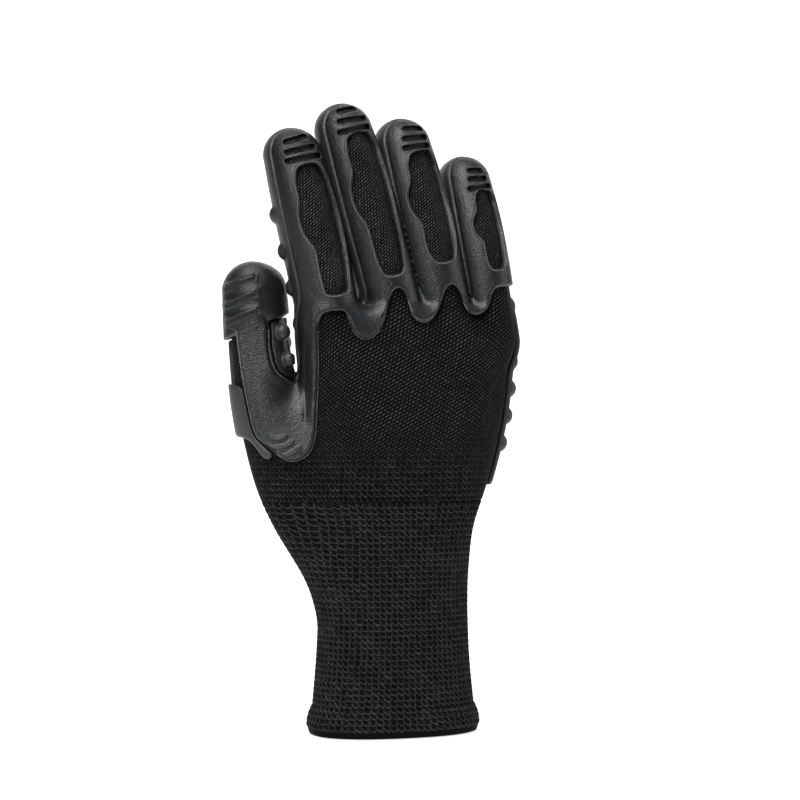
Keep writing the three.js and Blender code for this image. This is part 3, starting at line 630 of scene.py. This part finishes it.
def outline_distance(curve, pitch, margin=6.0):
    """How far a point of the plane lies outside a closed line, less than 0 inside it. It is worked out
    once on a grid, from the nearest of the line's pieces and the count of its crossings, and read
    between the grid's points."""
    low, high = curve.min(0) - margin, curve.max(0) + margin
    size = np.ceil((high - low) / pitch).astype(int) + 1
    gx, gy = np.meshgrid(low[0] + pitch * np.arange(size[0]), low[1] + pitch * np.arange(size[1]), indexing="ij")
    best, odd = np.full(gx.shape, 1e9), np.zeros(gx.shape, bool)
    for (ax, ay), (bx, by) in zip(curve, np.roll(curve, -1, 0)):
        dx, dy = bx - ax, by - ay
        t = np.clip(((gx - ax) * dx + (gy - ay) * dy) / max(dx * dx + dy * dy, 1e-9), 0, 1)
        best = np.minimum(best, (gx - ax - t * dx) ** 2 + (gy - ay - t * dy) ** 2)
        if by != ay:
            odd ^= ((ay > gy) != (by > gy)) & (gx < ax + (gy - ay) / (by - ay) * dx)
    table = np.sqrt(best) * np.where(odd, -1, 1)

    def read(a, b):
        fa = np.clip((a - low[0]) / pitch, 0, size[0] - 1.001)
        fb = np.clip((b - low[1]) / pitch, 0, size[1] - 1.001)
        i, j = fa.astype(int), fb.astype(int)
        s, t = fa - i, fb - j
        return ((table[i, j] * (1 - s) + table[i + 1, j] * s) * (1 - t)
                + (table[i, j + 1] * (1 - s) + table[i + 1, j + 1] * s) * t)
    return read


# The guard's whole outline, sideways and height, as seen from the back: from the little finger's knuckle
# by three lobes to the strip, round the pad, up the thumb plate and up the strip's other side
GUARD_EDGE = outline_distance(closed_curve([
    (52, 187.6), (47, 187.0), (43, 186.2), (41, 184), (40.1, 180.6), (38.6, 177.2), (35.8, 174.9), (32.6, 174.5),
    (29.8, 176.4), (28.2, 179.6), (27.2, 183), (25.6, 186), (23.2, 187), (21.2, 184.8), (19.7, 181), (18.3, 176.8),
    (15.9, 172.6), (12.6, 170.6), (9.2, 171.4), (6.7, 174.4), (5.4, 178.4), (4.4, 182.4), (2.4, 185), (0, 184.4),
    (-2.0, 181), (-3.0, 177), (-4.0, 172), (-6.0, 167.0), (-9.8, 163.8), (-14.0, 163.8), (-17.6, 167.0),
    (-19.2, 171.2), (-20.2, 174.6), (-22, 175.4), (-27, 175), (-30.2, 172.6), (-30.9, 166), (-30.8, 150.5),
    (-31.5, 132), (-32.3, 122.6), (-34.8, 116.6), (-40, 113.6), (-45.6, 114.3), (-54.6, 121.4),
    (-58.3, 127), (-62, 143.5), (-64.9, 162.4), (-65.3, 172),
    (-58, 176), (-52.2, 172), (-51, 160), (-49.2, 152.6), (-46.2, 149.0), (-42, 147.6),
    (-41.4, 158), (-42.4, 170), (-44.2, 182), (-47, 194), (-56, 203), (-60, 240), (-58, 285),
    (0, 295), (66, 285), (70, 230), (66, 187.5)]), 0.5, 12)

# Each window: its foot and top along the finger, and how far round it the left and right edges lie, in
# degrees from the back, from the foot up
WINDOWS = {
    "index": ((10.7, 64.4), (-9, -15, -16, -16, -29, -31, -24, -23, -10), (29, 38, 45, 51, 54, 54, 50, 44, 28)),
    "middle": ((19.8, 79.2), (-11, -21, -22, -23, -35, -35, -23, -22, -10), (20, 29, 34, 38, 44, 49, 51, 50, 32)),
    "ring": ((25.4, 71.8), (-6, -18, -20, -20, -32, -34, -21, -18, -3), (27, 41, 50, 60, 66, 67, 64, 59, 37)),
    "little": ((22.4, 55.5), (2, -6, -7, -8, -21, -22, -10, -7, 3), (27, 41, 49, 57, 61, 61, 59, 56, 35)),
}
WINDOW_ROWS = (0.0, 0.09, 0.2, 0.36, 0.5, 0.63, 0.76, 0.9, 1.0)
ARC = 12.4  # radius at which lengths round a finger are measured


def window_curve(name):
    """The window's closed line: up its right edge and down its left, in lengths round and along."""
    (foot, top), left, right = WINDOWS[name]
    rows = [foot + r * (top - foot) for r in WINDOW_ROWS]
    up, down = ([(math.radians(turn) * ARC, h) for turn, h in zip(edge, rows)] for edge in (right, left))
    return closed_curve(up + down[::-1])


WINDOW_EDGE = {name: outline_distance(window_curve(name), 0.25) for name in FINGERS}

# Each finger's slots: place along it past the tip's centre, middle across it, half length, rise
SLOTS = {
    "index": ((5.9, 0.0, 4.3, 0.12), (1.4, 0.5, 5.7, 0.06), (-2.4, 1.1, 7.1, 0.03)),
    "middle": ((7.8, 1.1, 3.2, 0.0), (3.3, 1.5, 5.4, -0.05), (-0.9, 1.1, 6.3, 0.0)),
    "ring": ((5.6, 3.0, 3.6, -0.12), (1.6, 2.5, 4.7, -0.07), (-2.2, 2.0, 5.3, -0.04)),
    "little": ((2.9, 1.7, 2.5, -0.1), (-0.6, 1.9, 3.4, -0.05), (-4.3, 1.9, 4.6, 0.05)),
}
SLOT_HALF, SLOT_DEPTH = 1.15, 1.7
SEAM_GAP = 0.3  # between the guard and the palm shell
FAR = 99.0  # a distance that no point reaches


def capsule(a, b, a0, b0, a1, b1, radius):
    """Distance outside a bar with round ends from (a0, b0) to (a1, b1)."""
    da, db = a1 - a0, b1 - b0
    t = np.clip(((a - a0) * da + (b - b0) * db) / (da * da + db * db), 0, 1)
    return np.sqrt((a - a0 - t * da) ** 2 + (b - b0 - t * db) ** 2) - radius


def parting(x, y, z, p, thumb_face, thumb_seam):
    """How far a point lies on the back's side of the line where the guard meets the palm shell: a slant
    across the palm, a plane along each finger, and a plane along the thumb, which faces thumb_face
    degrees. Also the thumb's share of the point, 0 to 1."""
    across = np.interp(x, [-84, -45.5, 18.2, 73], [6, 3, -3, -3.4]) - y
    nearest = np.full(x.shape, 1e9)
    finger = np.zeros(x.shape)
    for name, (_, side, depth) in p["places"].items():
        f = FINGERS[name]
        face = math.radians(f["face"])
        mine = p["single"][name] < nearest
        nearest = np.where(mine, p["single"][name], nearest)
        finger = np.where(mine, side * math.sin(face) - depth * math.cos(face) - f["seam"], finger)
    up = ramp(z, 160, 186)
    q = across * (1 - up) + finger * up
    face = math.radians(thumb_face)
    thumb = p["tx"] * math.sin(face) - p["ty"] * math.cos(face) - thumb_seam
    own = ramp(np.minimum(p["palm"], nearest) - p["thumb"], -2, 2)
    return q * (1 - own) + thumb * own, own


FAN, ARCS = (-48.0, 127.6), (4.6, 8.3, 12.0)  # the pad's arcs: centre (sideways, height) and radii
CREST_AT, GROOVE_AT = -33.6, -36.8  # sideways places of the strip's two lines
# the cap's three ribs, each from (sideways, height) to (sideways, height)
RIBS = ((-70.2, 185.4, -57.8, 189.6), (-70.1, 178.5, -57.2, 183.0), (-69.4, 171.8, -56.0, 176.2))


def cap_edge(sideways, z):
    """How far below the thumb cap's slanting lower edge a point lies."""
    return (165.6 + 0.42 * (sideways + 65.6) - z) * 0.92


def line(distance, width):
    """A rounded ridge of height 1 along the line at distance 0."""
    return np.exp(-((distance / width) ** 2))


def guard_relief(sideways, z, p, own, edge):
    """What stands out from or is let into the guard's plain wall: the thumb cap's step and its three low
    ribs, the flatter thumb plate, the strip's crest and groove, the thin flange along strip and pad, and
    the pad's three arcs."""
    cap = 1 - ramp(cap_edge(sideways, z), -0.5, 0.1)
    front = own * (1 - ramp(p["ty"] * 0.95 + p["tx"] * 0.31, -3, 0))
    ribs = sum(line(capsule(sideways, z, *rib, 0), 1.6) for rib in RIBS)
    across = p["tx"] * RIGHT[0] + p["ty"] * RIGHT[1]
    plate = ramp(np.abs(across + 1), 2, 9) * (1 - cap) * np.where(across > -1, ramp(z, 144, 153), 1)
    flange = (1 - ramp(-edge, 0.7, 1.7)) * (1 - ramp(z, 168, 176)) * ramp(sideways, -57, -52)
    strip = ramp(z, 126, 134)
    crest = line(sideways - CREST_AT, 1.3) * strip * (1 - ramp(z, 170, 178))
    groove = line(sideways - GROOVE_AT, 0.9) * strip * (1 - ramp(z, 156, 164))
    a, b = sideways - FAN[0], FAN[1] - z
    arcs = sum(line(np.hypot(a, b) - radius, 0.9) for radius in ARCS) * (1 - ramp(np.abs(a) - 1.2 * b, -2, 1))
    return (0.7 * cap * own + 0.65 * ribs * front + 1.2 * plate * front - 1.5 * flange
            + 0.5 * crest - 0.4 * groove + 0.4 * arcs)


def guard_marks(x, y, z):
    """How far a point lies outside the nearest window and the nearest slot, in millimetres along the surface. The
    field cuts with them, and the finish draws the lips, paints a highlight on them and paints black shade into the
    slots with them."""
    windows, slots = np.full(x.shape, FAR), np.full(x.shape, FAR)
    for name, f in FINGERS.items():
        along, across, depth = finger_place(name, x, y, z)
        mine = finger_distance(name, along, across, depth) < 9
        turn = np.arctan2(across, -depth) * ARC
        windows = np.minimum(windows, np.where(mine & (depth < 6), WINDOW_EDGE[name](turn, along), FAR))
        reach = f["length"] * math.hypot(f["lean"], 1)
        for past, middle, half, rise in SLOTS[name]:
            bar = capsule(across, along - reach, middle - half, past - half * rise,
                          middle + half, past + half * rise, SLOT_HALF)
            slots = np.minimum(slots, np.where(mine & (depth < 2), bar, FAR))
    return windows, slots


def guard_field(x, y, z):
    """Inside the rubber: between SHELL_IN and its outer wall, on the back's side of the parting, within
    the outline, and outside the windows and slots. Edges are rounded where the surfaces meet."""
    inner, outer, p = hand(x, y, z, parts=True)
    sideways = x * RIGHT[0] + y * RIGHT[1]
    edge = GUARD_EDGE(sideways, z)
    q, own = parting(x, y, z, p, math.degrees(FACE), -1.0)
    wall = SHELL_OUT + guard_relief(sideways, z, p, own, edge)
    windows, slots = guard_marks(x, y, z)
    skin = outer - wall
    body = soft_max(skin, SHELL_IN - inner, 0.6)
    capped = np.where(own > 0.5, cap_edge(sideways, z), FAR)
    region = soft_min(np.maximum(edge, np.where(own > 0.5, 0, SEAM_GAP / 2) - q), capped, 0.5)
    body = soft_max(body, region, 1.3)
    body = soft_max(body, -windows, 0.7)
    slot = soft_max(slots, -(skin + SLOT_DEPTH), 0.4)
    return soft_max(body, -slot, 0.4)


def hump(value, half):
    """1 where a shader value is 0, and 0 from half away on."""
    return (1 - (value / half) ** 2).maths("MAXIMUM", 0.0)


def guard_drawing(f, here, grain, height, gloss, base):
    """The guard's fine marks in its finish: the bead round each window and along the outline, with a painted
    highlight on it, the slots' lips with a fainter painted highlight and painted black shade inside the slots, the
    fan's arcs, and the ribs with painted shade darkening the grooves between them."""
    rim = f.node("ShaderNodeAttribute", {"attribute_name": "rim"}, out="Fac")
    slot = f.node("ShaderNodeAttribute", {"attribute_name": "slot"}, out="Fac")
    x, y, z = (f.node("ShaderNodeSeparateXYZ", {}, here, out=axis) for axis in range(3))
    side = x * RIGHT[0] + y * RIGHT[1]
    a, b = side - FAN[0], FAN[1] - z
    radius = (a * a + b * b) ** 0.5
    beside = (a / (b.maths("MAXIMUM", 0.01))).maths("ABSOLUTE")
    arcs = sum((hump(radius - middle, 0.75) for middle in ARCS), 0.0)
    bead, lip = hump(rim - 0.7, 0.45), hump(slot - 0.45, 0.4)
    height = height + 0.6 * bead + 0.3 * lip
    height = height + 0.5 * arcs * (1 - beside.step(0.8, 1.6)) * (1 - y.step(-6.0, -2.0))
    # Painted shade: the slots' floors, and below them the ribs' grooves, are turned near black and rough.
    deep = 1 - slot.step(-0.55, 0.1)
    for a0, b0, a1, b1 in RIBS:
        size = math.hypot(a1 - a0, b1 - b0)
        da, db = (a1 - a0) / size, (b1 - b0) / size
        on = (side - a0) * da + (z - b0) * db
        up = (z - b0) * da - (side - a0) * db
        ends = on.step(-0.8, 0.8) * (1 - on.step(size - 0.9, size + 0.9))
        groove = hump(up + 0.8, 1.0) * ends
        height = height + 0.6 * hump(up - 0.7, 0.9) * ends - 1.4 * groove
        deep = deep.maths("MAXIMUM", (groove * 1.5).maths("MINIMUM", 1.0))
    # Painted highlight: the bead and the slots' lips are lightened in the base colour, flecked by the grain.
    painted_edge_highlight = (bead * (0.25 + 0.55 * grain.step(0.3, 0.6))).maths("MAXIMUM", lip * 0.25)
    base = f.mix(deep, f.mix(painted_edge_highlight, base, (0.13, 0.13, 0.135)), (0.0006, 0.0006, 0.0007))
    return height, gloss + 0.5 * deep, base


def rubber_finish(name, colour, rough, draw=None):
    """Moulded rubber: near black with a satin grain of fine specks left by the mould, and cloudy gloss
    where it has been handled. The function draw adds a piece's own marks."""
    f = Finish(name, Specular_IOR_Level=0.55)
    here = f.place()
    grain = f.noise(here, 1.9, 1.0, 0.5)
    coarse = f.noise(here, 0.07, 3.0)
    streak = f.noise(f.node("ShaderNodeVectorMath", {"operation": "MULTIPLY"}, here, (1.0, 1.0, 0.14)), 0.45, 3.0)
    dark, light = (tuple(share * c for c in colour) for share in (0.6, 1.5))
    base = f.mix(0.2 + 0.5 * coarse + 0.3 * streak, dark, light)
    gloss = rough - 0.28 + 0.14 * coarse + 0.45 * grain
    height = 0.24 * grain + 0.04 * streak
    if draw:
        height, gloss, base = draw(f, here, grain, height, gloss, base)
    return f.finish(Base_Color=base, Roughness=gloss, Normal=f.bump(height, 0.001, 1.0))


points, faces = level_surface(guard_field, (0, 9.5))
rim, slot = guard_marks(*points.T)
border = -GUARD_EDGE(points[:, 0] * RIGHT[0] + points[:, 1] * RIGHT[1], points[:, 2])
rim = np.minimum(rim, border + 0.3 + FAR * ramp(points[:, 2], 168, 172))
guard = new_mesh("back_guard_shell", points, faces,
                 rubber_finish("guard_rubber_skin", (0.0055, 0.0058, 0.0065), 0.34, guard_drawing),
                 rim=np.clip(rim, -3, 3), slot=np.clip(slot, -3, 3))
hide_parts("back_guard")

# ---------------------------------------------------------------------------------------------------
# Palm shell. The second moulding: it covers the palm side, wraps both edges of the hand and the foot of
# the thumb, and carries rows of hollow, round air-cushion bumps that take up vibration.

BUMP, RISE = 4.3, 2.6  # a bump's ball and how far it stands out
ROW_STEP, SPACING = 11.5, 19.0  # on the palm, up and round
DIGIT_STEP = 15.4  # along a finger
CUSHION = 1.2  # how far the bumps' wall stands out on the front of a digit
EDGE_DEPTH = 0.4  # how far towards the palm the bumps on the hand's edge lie
WEB_BUMPS = ((-48.6, 1.2, 167.1, 3.5), (-46.0, 1.2, 155.6, 3.3))


def palm_bumps():
    """Centres of the bumps' balls with their radius, sunk BUMP - RISE under the wall: rows round the palm
    from its edge, rows down each finger, pairs down the thumb, and a small pair inside its web."""
    sunk = BUMP - RISE
    centres = [(51.6 - sunk, EDGE_DEPTH, 179.0, BUMP)]
    turn = np.radians(np.arange(0, 166, 0.25))
    for row in range(5):
        z = KNUCKLES - 5.0 - ROW_STEP * row
        centre, wide, deep = (float(np.interp(z, PALM_Z, r)) for r in (PALM_X, PALM_W, PALM_D))
        px = centre + (wide + SHELL_OUT) * np.sign(np.cos(turn)) * np.abs(np.cos(turn)) ** (2 / SQUARENESS)
        py = 0.8 + (deep + SHELL_OUT + 0.8) * np.abs(np.sin(turn)) ** (2 / SQUARENESS)
        walked = np.concatenate([[0], np.cumsum(np.hypot(np.diff(px), np.diff(py)))])
        centres.append((px[0] - sunk, EDGE_DEPTH, z, BUMP))
        for wanted in np.arange(1.5 * SPACING if row % 2 == 0 else SPACING, walked[-1], SPACING):
            i = min(int(np.searchsorted(walked, wanted)), len(px) - 2)
            tx, ty = px[i + 1] - px[i - 1], py[i + 1] - py[i - 1]
            size = math.hypot(tx, ty)
            centres.append((px[i] - ty / size * sunk, py[i] + tx / size * sunk, z, BUMP))
    for name, f in FINGERS.items():
        n = math.hypot(f["lean"], 1)
        reach = f["length"] * n
        first, turns = (47.0, (-72, -20, 30)) if name == "index" else (0.86 * reach, (-48, 20))
        for row in range(int((first - 0.5) // DIGIT_STEP) + 1):
            along = first - DIGIT_STEP * row
            for a in np.radians(turns):
                across = (f["half"] + SHELL_OUT - sunk) * math.sin(a)
                depth = (f["half"] * OVAL + SHELL_OUT + CUSHION - sunk) * math.cos(a)
                centres.append((f["root"] + (along * f["lean"] + across) / n,
                                -CURL / 3 + CURL * (along / reach) ** 2 + depth,
                                KNUCKLES + (along - across * f["lean"]) / n, BUMP))
    for z in (129.5, 146.0, 163.0):
        x, y, r = (float(np.interp(z, THUMB_Z, row)) for row in (THUMB_X, THUMB_Y, THUMB_R))
        out = r + SHELL_OUT + CUSHION - sunk
        centres += [(x + out * math.sin(a), y - out * math.cos(a), z, BUMP) for a in np.radians((106, 168))]
    return np.array([*centres, *WEB_BUMPS])


BUMPS = palm_bumps()

# The wrap's outline at the thumb's foot, sideways and height, as seen from the back
WRAP_EDGE = outline_distance(closed_curve([
    (-90, 127), (-66, 123.6), (-60.6, 120), (-55.5, 116.2), (-51, 115), (-50, 122), (-58, 130), (-60.8, 142),
    (-63, 143.6), (-68, 145.6), (-90, 147)]), 0.5, 12)


def palm_field(x, y, z):
    """Inside the palm shell: between SHELL_IN and the padded outer wall, on the palm's side of the parting
    or in the wrap round the thumb's foot, with the bumps' balls joined on by small fillets."""
    inner, outer, p = hand(x, y, z, parts=True)
    sideways = x * RIGHT[0] + y * RIGHT[1]
    q, own = parting(x, y, z, p, -52, 3.6)
    guard = GUARD_EDGE(sideways, z)
    behind = p["tx"] * 0.31 + p["ty"] * 0.95
    recess = own * ramp(sideways, -57, -53) * (1 - ramp(behind, 1, 5)) * ramp(z, 140, 148)
    skin = outer - SHELL_OUT + 1.3 * recess
    around = BUMP + 1.7
    for bx, by, bz, radius in BUMPS:
        near = (np.abs(x - bx) < around) & (np.abs(y - by) < around) & (np.abs(z - bz) < around)
        if near.any():
            ball = np.sqrt((x[near] - bx) ** 2 + (y[near] - by) ** 2 + (z[near] - bz) ** 2) - radius
            skin[near] = soft_min(skin[near], ball, 0.7)
    body = soft_max(skin, SHELL_IN - inner, 0.6)
    wrap = np.maximum(WRAP_EDGE(sideways, z), 0.35 - guard)
    region = np.minimum(q + SEAM_GAP / 2, np.where(own > 0.3, wrap, FAR))
    region = np.maximum(region, np.where((own > 0.5) & (behind < 2), 0.4 - guard, -FAR))
    region = np.maximum(region, np.where(own > 0.5, SEAM_GAP - cap_edge(sideways, z), -FAR))
    lower_edge = 103.0 + 20.0 * ramp(-sideways, 44, 62)
    region = soft_max(region, lower_edge - z, 2.0)
    return soft_max(body, region, 1.0)


points, faces = level_surface(palm_field, (0, 12), buried=SHELL_IN + 0.15)
palm = new_mesh("palm_bump_shell", points, faces,
                rubber_finish("palm_rubber_skin", (0.015, 0.0152, 0.0148), 0.42))
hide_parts("palm_shell")

# ---------------------------------------------------------------------------------------------------
# Studio: a sweep of white paper that stands in for the white background, a large soft box in front to the
# left, a narrow one at the right and one above, and a level camera that sees the back of the hand from a
# little to the thumb's side.

paper = Finish("white_paper", Roughness=0.9, Emission_Strength=0.75, Emission_Color=(1, 1, 1, 1))
grainy = paper.noise(paper.place(1.0), 40.0)
paper.finish(Base_Color=paper.mix(grainy, (0.88, 0.88, 0.88), (0.92, 0.92, 0.92)))


def sweep():
    """A floor that curves up into a wall behind the glove: flat, a quarter circle, then upright."""
    rows, columns, half_wide = 60, 9, 0.9
    front, back, radius, high = -0.3, 0.8, 0.4, 1.5
    s = np.linspace(0, 1, rows)
    bend = np.clip((s - 0.5) / 0.2, 0, 1) * np.pi / 2
    run = np.where(s < 0.5, front + s * 2 * (back - front), back + radius * np.sin(bend))
    rise = np.where(s < 0.5, 0, radius * (1 - np.cos(bend)) + np.maximum(s - 0.7, 0) / 0.3 * high)
    row, across = np.meshgrid(np.arange(rows), np.linspace(-half_wide, half_wide, columns), indexing="ij")
    x = across * RIGHT[0] - run[row] * RIGHT[1]
    y = across * RIGHT[1] + run[row] * RIGHT[0]
    verts = np.stack([x, y, rise[row] - 0.0004], -1).reshape(-1, 3)
    r, k = np.meshgrid(np.arange(rows - 1) * columns, np.arange(columns - 1), indexing="ij")
    faces = np.stack([r + k, r + k + 1, r + columns + k + 1, r + columns + k], -1).reshape(-1, 4)
    mesh = bpy.data.meshes.new("paper_sweep")
    mesh.from_pydata(verts.tolist(), [], faces.tolist())
    mesh.polygons.foreach_set("use_smooth", np.ones(len(faces), bool))
    mesh.materials.append(paper.material)
    piece = bpy.data.objects.new("paper_sweep", mesh)
    bpy.context.scene.collection.objects.link(piece)


sweep()
scene = bpy.context.scene
scene.view_settings.view_transform = "Standard"
world = bpy.data.worlds.new("studio")
world.use_nodes = True
world.node_tree.nodes["Background"].inputs[0].default_value = (0.96, 0.98, 1.0, 1)
world.node_tree.nodes["Background"].inputs[1].default_value = 0.06
scene.world = world


def soft_box(name, azimuth, elevation, distance, size, power):
    """An area light that looks at the glove's middle from that side, azimuth 0 in front of the back."""
    a, e = math.radians(azimuth), math.radians(elevation)
    way = np.array([math.sin(a) * math.cos(e), -math.cos(a) * math.cos(e), math.sin(e)])
    light = bpy.data.lights.new(name, "AREA")
    light.shape, light.size, light.size_y, light.energy = "RECTANGLE", size[0], size[1], power
    lamp = bpy.data.objects.new(name, light)
    lamp.location = np.array([0, 0, 0.14]) + way * distance
    lamp.rotation_euler = (math.pi / 2 - e, 0, a)
    scene.collection.objects.link(lamp)


soft_box("key_box", -38, 33, 1.0, (0.45, 0.5), 8.6)
soft_box("right_box", 74, 18, 1.1, (0.16, 0.8), 3)
soft_box("top_box", -40, 72, 1.1, (0.7, 0.5), 9)

# A long lens 0.93 m away, level with the middle of the hand
lens = bpy.data.cameras.new("camera")
lens.lens, lens.sensor_width, lens.clip_start = 100, 36, 0.01
camera = bpy.data.objects.new("camera", lens)
camera.location = (-0.2863, -0.8880, 0.1390)
camera.rotation_euler = (math.pi / 2, 0, FACE)
scene.collection.objects.link(camera)
scene.camera = camera
